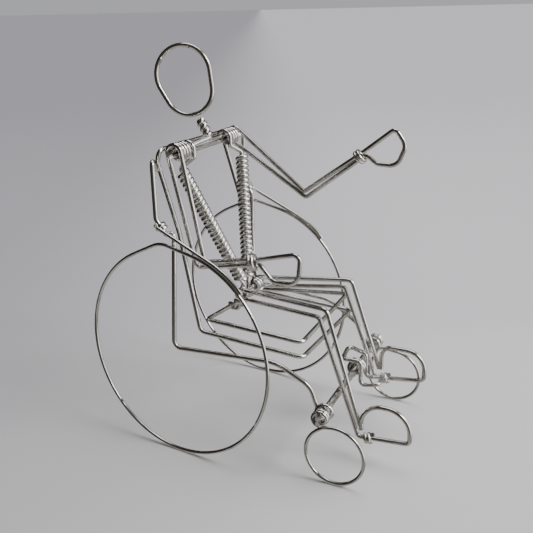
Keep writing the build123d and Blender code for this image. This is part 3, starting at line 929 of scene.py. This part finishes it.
@dataclass
class ShouldersAndHead:
    """The shoulder bar, the two wires that twist into a neck, and the oval loop of the head."""

    collar_x: dict[str, float] = field(default_factory=lambda: {"right": 9.4, "left": 3.6})
    neck_base: tuple[float, float, float] = (0.5, 3.3, 86.6)
    neck_lean: float = 30.0
    neck_length: float = 6.2
    neck_turns: float = 1.5
    strand_share: float = 0.62
    head_turn: float = 14.0
    head_lean: float = 24.0
    head_tilt: float = 20.0
    head_width: float = 16.0
    head_height: float = 19.8
    chin_radius: float = 7.0

    def build(self, shop: Workshop) -> None:
        """Make the bar, the neck wires and the head."""
        s = SIZES
        lift = Z_AXIS * (s.radius + s.snug / 2)
        half = X_AXIS * s.shoulder_half_width
        shoulder = s.shoulder()
        bar = Run([shoulder - lift - half, shoulder - lift + half], [])
        shop.add("shoulder_bar", "chair", Slot.FIGURE, [bar])
        foot = s.place(*self.neck_base)
        lean = radians(self.neck_lean)
        axis = Vector((0, sin(lean), cos(lean)))
        rise = self.neck_length - s.wire
        for side, sign in SIDES.items():
            start = (X_AXIS * -sign).cross(axis)
            pitch = rise / self.neck_turns
            twist = Coil(foot + axis * (rise / 2), axis, start, self.strand_share * s.wire, self.neck_turns, pitch)
            points = [
                shoulder + lift + half * sign,
                shoulder + lift + X_AXIS * (sign * self.collar_x[side]),
                twist.first_point() - twist.first_direction() * 1.5,
                twist.first_point(),
            ]
            shop.add(f"{side}_neck_wire", "chair", Slot.FIGURE, [Run(points, [1.5, 1.0]), twist])
        shop.add("head_loop", "chair", Slot.FIGURE, [self._head(foot + axis * self.neck_length)])

    def _head(self, neck_top: Vector) -> Run:
        """Make the head's oval, which rests its chin on the neck."""
        turn, lean, tilt = (radians(a) for a in (self.head_turn, self.head_lean, self.head_tilt))
        across = Vector((sin(turn), -cos(turn), 0))
        normal = across.cross(Vector((0, sin(lean), cos(lean)))).normalized()
        up = normal.cross(across) * cos(tilt) - across * sin(tilt)
        radius = self.head_width / 2
        chin = self.head_height - radius
        centre = neck_top + up * (chin + SIZES.radius + SIZES.snug)
        return hoop(centre, normal.cross(up), -up, radius, self.chin_radius, chin)


@dataclass
class Arm:
    """One arm: a closed loop of wire with its hand, the coil at its shoulder and the wrap at its wrist."""

    side: str
    direction: tuple[float, float]
    rear: list[tuple[float, float]]
    hand: list[tuple[float, float]]
    front: list[tuple[float, float]]
    bends: list[float]
    arm_x: float = 17.0
    turns: int = 3
    wrist_turns: float = 1.75
    gap: float = 0.12

    def build(self, shop: Workshop) -> None:
        """Make the arm's three pieces."""
        s, sign = SIZES, SIDES[self.side]
        radius = s.coil_radius + self.gap
        middle = s.shoulder(sign * self.arm_x)
        along = Vector((0, *self.direction)).normalized() * radius
        across = X_AXIS.cross(along)
        rear, hand, front = (
            [s.place(sign * self.arm_x, y, z) for y, z in points] for points in (self.rear, self.hand, self.front)
        )
        points = [middle - along - across, middle - along + across] + rear + hand + front
        bends = [radius - self.gap] * 2 + self.bends
        body = f"{self.side}_arm_group"
        shop.add(f"{self.side}_arm", body, Slot.FIGURE, [Run(points, bends, closed=True)])
        coil_x = sign * (self.arm_x - s.wire - 2 * s.snug - self.turns * s.bundle / 2)
        coil = Coil(s.shoulder(coil_x), X_AXIS, Z_AXIS, s.coil_radius, self.turns, s.bundle)
        shop.add(f"{self.side}_shoulder_coil", body, Slot.FIGURE, [coil])
        wrist = rear[1].lerp(front[0], 0.5)
        axis = (wrist - rear[0].lerp(front[1], 0.5)).normalized()
        wrap_radius = (rear[1] - front[0]).length / 2 + s.radius + s.thin_radius + s.snug
        wrap = Coil(
            wrist - axis * (s.thin_wire * 2), axis, X_AXIS, wrap_radius, self.wrist_turns, s.thin_wire + s.snug
        )
        shop.add(f"{self.side}_wrist_wrap", body, Slot.BINDING, [wrap], s.thin_wire)


@dataclass
class Torso:
    """The two straight wires from shoulder to seat, each inside a long close coil."""

    seat: SeatAndBack
    pitch: float = 1.42
    tops: dict[str, tuple[float, float, float]] = field(
        default_factory=lambda: {"right": (-13.3, 4.4, 79.6), "left": (13.2, -0.5, 80.0)}
    )
    feet_x: dict[str, float] = field(default_factory=lambda: {"right": -1.0, "left": 2.4})
    foot_height: float = 43.4
    hook_gap: float = 0.14
    arm_x: float = 17.0
    arm_turns: int = 3

    def build(self, shop: Workshop) -> None:
        """Make both cores and both coils."""
        for side, sign in SIDES.items():
            self._build_side(shop, side, sign)

    def _build_side(self, shop: Workshop, side: str, sign: int) -> None:
        """Make one core, hooked over the shoulder bundle and under the seat loop, and its coil."""
        s = SIZES
        top = s.place(*self.tops[side])
        foot = s.place(self.feet_x[side], s.hip_y + s.wire + s.snug, self.foot_height)
        hook = s.shoulder(sign * (self.arm_x - 2 * s.wire - self.arm_turns * s.bundle - self.hook_gap))
        rear_right = self.seat.loop_corner("right", self.seat.loop_rear)
        rear_left = self.seat.loop_corner("left", self.seat.loop_rear)
        seat = rear_right.lerp(rear_left, (foot.x - rear_right.x) / (rear_left.x - rear_right.x))
        over = s.bundle + s.snug + s.radius
        under = s.wire + s.snug
        points = [
            hook + Vector((0, over, -0.6)),
            hook + Vector((0, over, over)),
            hook + Vector((0, -over, over)),
            hook + Vector((0, -over, -2.2)),
            top,
            foot,
            Vector((foot.x, foot.y, s.hip_height - 1.0)),
            Vector((foot.x, seat.y - under, seat.z - under)),
            Vector((foot.x, seat.y + under, seat.z - under)),
            Vector((foot.x, seat.y + under, seat.z + 0.4)),
        ]
        bends = [over - s.snug] * 2 + [0.8, 1.2, 2.0, 1.2, 0.9, 0.9]
        shop.add(f"{side}_torso_core", "chair", Slot.FIGURE, [Run(points, bends)])
        length = (foot - top).length - 2 * s.wire
        coil = Coil(top.lerp(foot, 0.5), foot - top, X_AXIS, under, length / self.pitch, self.pitch)
        shop.add(f"{side}_torso_coil", "chair", Slot.FIGURE, [coil])


@dataclass
class Leg:
    """One leg: a length of wire from hip to foot and back, the coil at its hip and the wrap at its ankle."""

    side: str
    hip_x: float
    turns: int
    knees: list[tuple[float, float]]
    ankles: list[tuple[float, float]]
    foot: list[tuple[float, float]]
    foot_bends: list[float]
    knee_x: float = 11.0
    kink: float = 1.6
    ankle_turns: int = 2
    wrap_reach: float = 3.2

    def build(self, shop: Workshop) -> None:
        """Make the leg's three pieces."""
        s, sign = SIZES, SIDES[self.side]
        ring = s.wire + s.turning_fit
        hip = s.place(self.hip_x, s.hip_y, s.hip_height)
        around = [
            hip + Vector((0, -self.kink, ring)),
            hip + Vector((0, ring, ring)),
            hip + Vector((0, ring, -ring)),
            hip + Vector((0, -self.kink, -ring)),
        ]
        inner_knee, outer_knee, rear_ankle, front_ankle = (
            s.place(sign * self.knee_x, y, z) for y, z in self.knees + self.ankles
        )
        foot = [s.place(sign * self.knee_x, y, z) for y, z in self.foot]
        points = [front_ankle, outer_knee] + around + [inner_knee, rear_ankle] + foot
        bends = [2.0, 1.0, ring - s.snug, ring - s.snug, 1.0, 1.5, 1.2] + self.foot_bends
        body = f"{self.side}_leg_group"
        shop.add(f"{self.side}_leg", body, Slot.FIGURE, [Run(points, bends)])
        coil_x = self.hip_x - sign * (s.wire + 2 * s.snug + self.turns * s.bundle / 2)
        coil = Coil(s.place(coil_x, s.hip_y, s.hip_height), X_AXIS, Z_AXIS, ring, self.turns, s.bundle)
        shop.add(f"{self.side}_hip_coil", body, Slot.FIGURE, [coil])
        sole = (foot[0] - rear_ankle).normalized()
        wrap = Coil(
            rear_ankle + sole * self.wrap_reach,
            sole,
            Z_AXIS,
            s.radius + s.thin_radius + s.snug,
            self.ankle_turns,
            s.thin_wire + s.snug,
        )
        shop.add(f"{self.side}_ankle_wrap", body, Slot.BINDING, [wrap], s.thin_wire)


@dataclass
class Hips:
    """The short bar that both legs turn on."""

    ends_x: tuple[float, float] = (-6.2, 9.0)

    def build(self, shop: Workshop) -> None:
        """Make the bar."""
        ends = [SIZES.place(x, SIZES.hip_y, SIZES.hip_height) for x in self.ends_x]
        shop.add("hip_bar", "chair", Slot.FIGURE, [Run(ends, [])])


def figure_limbs() -> list[Union[Arm, Leg]]:
    """Give the two arms and the two legs in their poses.

    Returns:
        The limbs, each ready to build.
    """
    return [
        Arm(
            "right",
            direction=(-0.21, -0.98),
            rear=[(-1.6, 52.6), (-21.4, 56.0)],
            hand=[(-25.2, 51.6), (-32.5, 51.6), (-33.3, 60.3)],
            front=[(-21.0, 57.35), (-4.2, 54.5)],
            bends=[1.9, 1.6, 2.6, 3.4, 1.7, 1.6, 1.2],
        ),
        Arm(
            "left",
            direction=(-0.80, -0.60),
            rear=[(-20.0, 66.6), (-38.9, 80.7)],
            hand=[(-42.0, 78.2), (-47.9, 78.0), (-50.4, 84.0), (-47.2, 88.5)],
            front=[(-38.2, 81.6), (-19.4, 68.35)],
            bends=[1.3, 1.6, 2.8, 3.2, 3.4, 1.4, 1.2, 1.0],
        ),
        Leg(
            "right",
            hip_x=-5.0,
            turns=1,
            knees=[(-36.0, 40.9), (-38.2, 43.4)],
            ankles=[(-47.8, 6.9), (-48.2, 10.4)],
            foot=[(-62.5, 8.0), (-62.3, 17.3), (-48.6, 17.3), (-48.6, 9.3)],
            foot_bends=[1.3, 6.6, 6.0],
        ),
        Leg(
            "left",
            hip_x=7.8,
            turns=2,
            knees=[(-35.0, 42.2), (-37.2, 44.5)],
            ankles=[(-45.2, 14.5), (-46.2, 17.6)],
            foot=[(-60.0, 16.3), (-59.9, 25.0), (-46.9, 25.0), (-46.9, 17.6)],
            foot_bends=[1.8, 5.5, 3.2],
        ),
    ]


# ---------------------------------------------------------------- studio
@dataclass
class Lamp:
    """A far soft lamp that lights everything from one side."""

    name: str
    towards: tuple[float, float, float]
    power: float
    spread: float
    colour: tuple[float, float, float] = (1.0, 1.0, 1.0)

    def build(self) -> None:
        """Hang the lamp."""
        data = bpy.data.lights.new(self.name, "SUN")
        data.energy = self.power
        data.angle = radians(self.spread)
        data.color = self.colour
        lamp = bpy.data.objects.new(self.name, data)
        bpy.context.scene.collection.objects.link(lamp)
        lamp.matrix_world = Vector(self.towards).to_track_quat("Z", "Y").to_matrix().to_4x4()


@dataclass
class Studio:
    """Floor, light and camera; the camera is moved by the same shift as the wires.

    The floor doesn't show in the wire. The wire mirrors the room instead, which is bright on the window's
    side and dark brown on the other, above the floor and below it.
    """

    shift: Vector
    lens: float = 51.54
    sensor: float = 36.0
    camera_place: tuple[float, float, float] = (-0.18858, -0.09402, 0.12081)
    yaw: float = -63.09
    pitch: float = 18.69
    roll: float = -1.35
    floor_size: float = 120.0
    dark_side: tuple[float, float, float] = (0.022, 0.017, 0.014)
    near_side: tuple[float, float, float] = (0.050, 0.044, 0.037)
    table: tuple[float, float, float] = (0.42, 0.41, 0.39)
    wall: tuple[float, float, float] = (0.30, 0.29, 0.26)
    pane: tuple[float, float, float] = (2.0, 2.0, 2.04)
    horizon: tuple[float, float, float] = (0.44, 0.44, 0.46)

    def build(self) -> None:
        """Set up the whole studio."""
        away, right = self._camera()
        self._floor(away, right)
        self._world(away, right)
        for lamp in (
            Lamp("window", tuple(right * 0.8 - away * 0.35 + Z_AXIS * 0.75), 1.9, 26.0, (1.0, 0.99, 0.97)),
            Lamp("ceiling", tuple(away * 0.25 + right * 0.1 + Z_AXIS), 1.2, 45.0, (0.97, 0.98, 1.0)),
        ):
            lamp.build()
        log.info("studio: camera, floor and lamps")

    def _camera(self) -> tuple[Vector, Vector]:
        """Add the camera.

        Returns:
            The level direction that it looks in, and its level right.
        """
        yaw, lift, roll = radians(self.yaw), radians(self.pitch), radians(self.roll)
        back = Vector((sin(yaw) * cos(lift), -cos(yaw) * cos(lift), sin(lift)))
        right = Vector((cos(yaw), sin(yaw), 0))
        up = back.cross(right)
        level_right = right * cos(roll) + up * sin(roll)
        level_up = up * cos(roll) - right * sin(roll)
        data = bpy.data.cameras.new("camera")
        data.lens = self.lens
        data.sensor_width = self.sensor
        data.clip_start = 0.005
        data.clip_end = 200.0
        camera = bpy.data.objects.new("camera", data)
        turn = Matrix((level_right, level_up, back)).transposed().to_4x4()
        place = Vector(self.camera_place) + self.shift * MM
        camera.matrix_world = Matrix.Translation(place) @ turn
        bpy.context.scene.collection.objects.link(camera)
        bpy.context.scene.camera = camera
        return Vector((-back.x, -back.y, 0)).normalized(), right

    def _floor(self, away: Vector, right: Vector) -> None:
        """Lay the pale floor."""
        half = self.floor_size / 2
        mesh = bpy.data.meshes.new("floor")
        corners = [(-half, -half, 0), (half, -half, 0), (half, half, 0), (-half, half, 0)]
        mesh.from_pydata(corners, [], [(0, 1, 2, 3)])
        mesh.materials.append(FloorFinish().build(away, right))
        floor = bpy.data.objects.new("floor", mesh)
        floor.visible_glossy = False
        bpy.context.scene.collection.objects.link(floor)

    def _world(self, away: Vector, right: Vector) -> None:
        """Make the room that the wire mirrors.

        Args:
            away: level direction from the camera to behind the object.
            right: level direction to the window's side.
        """
        world = bpy.data.worlds.new("room")
        world.use_nodes = True
        graph = Graph(world.node_tree)
        direction = graph.add("ShaderNodeTexCoord", {}, {}, "Generated")
        window = (right * 0.9 - away * 0.15 + Z_AXIS * 0.1).normalized()
        near = self._lobe(graph, direction, -away, 0.0, 0.9)
        low = self._lobe(graph, direction, -Z_AXIS, 0.36, 0.62)
        open_side = self._lobe(graph, direction, window, 0.20, 0.60)
        pane = self._lobe(graph, direction, window, 0.78, 0.90)
        tone = self._mix(graph, near, self.dark_side, self.near_side)
        tone = self._mix(graph, low, tone, self.table)
        tone = self._mix(graph, open_side, tone, self.wall)
        tone = self._mix(graph, pane, tone, self.pane)
        seen = graph.add("ShaderNodeLightPath", {}, {}, "Is Camera Ray")
        colour = self._mix(graph, seen, tone, self.horizon)
        light = graph.add("ShaderNodeBackground", {}, {"Color": colour, "Strength": 1.0})
        graph.add("ShaderNodeOutputWorld", {}, {"Surface": light})
        bpy.context.scene.world = world

    @staticmethod
    def _lobe(graph: Graph, direction: Socket, towards: Vector, start: float, end: float) -> Socket:
        """A share that rises from 0 to 1 as the direction turns towards a vector."""
        facing = graph.add("ShaderNodeVectorMath", {"operation": "DOT_PRODUCT"}, {0: direction, 1: towards}, "Value")
        return graph.add(
            "ShaderNodeMapRange",
            {"interpolation_type": "SMOOTHSTEP"},
            {"Value": facing, "From Min": start, "From Max": end, "To Min": 0.0, "To Max": 1.0},
        )

    @staticmethod
    def _mix(graph: Graph, share: Socket, low: Any, high: Any) -> Socket:
        """Mix two colours, each a link or three numbers."""
        ends = [end if isinstance(end, Socket) else (*end, 1.0) for end in (low, high)]
        return graph.add("ShaderNodeMix", {"data_type": "RGBA"}, {"Factor": share, 6: ends[0], 7: ends[1]}, 2)


def main() -> None:
    """Build every sub-assembly in order, then the studio."""
    logging.basicConfig(level=logging.INFO, format="%(message)s")
    finishes = {
        Slot.CHAIR: WireFinish("chair_wire_bright", (0.80, 0.79, 0.77), (0.52, 0.51, 0.49), 0.13),
        Slot.FIGURE: WireFinish("figure_wire_bright", (0.82, 0.81, 0.79), (0.55, 0.53, 0.51), 0.12),
        Slot.WHEEL: WireFinish("wheel_wire_bright", (0.78, 0.77, 0.76), (0.50, 0.49, 0.48), 0.13),
        Slot.BINDING: WireFinish("binding_wire_bright", (0.84, 0.83, 0.80), (0.56, 0.54, 0.50), 0.14),
    }
    shift = part_shift()
    shop = Workshop(WireTree(shift), {slot: finish.build() for slot, finish in finishes.items()})
    bar, seat = FrontBar(), SeatAndBack()
    parts = [bar, seat, SideFrames(bar, seat), Footrest(bar), ShouldersAndHead(), Torso(seat), Hips()]
    for part in parts + figure_limbs():
        part.build(shop)
        log.info("%s is done", type(part).__name__)
    Studio(shift).build()


if __name__ == "__main__":
    main()
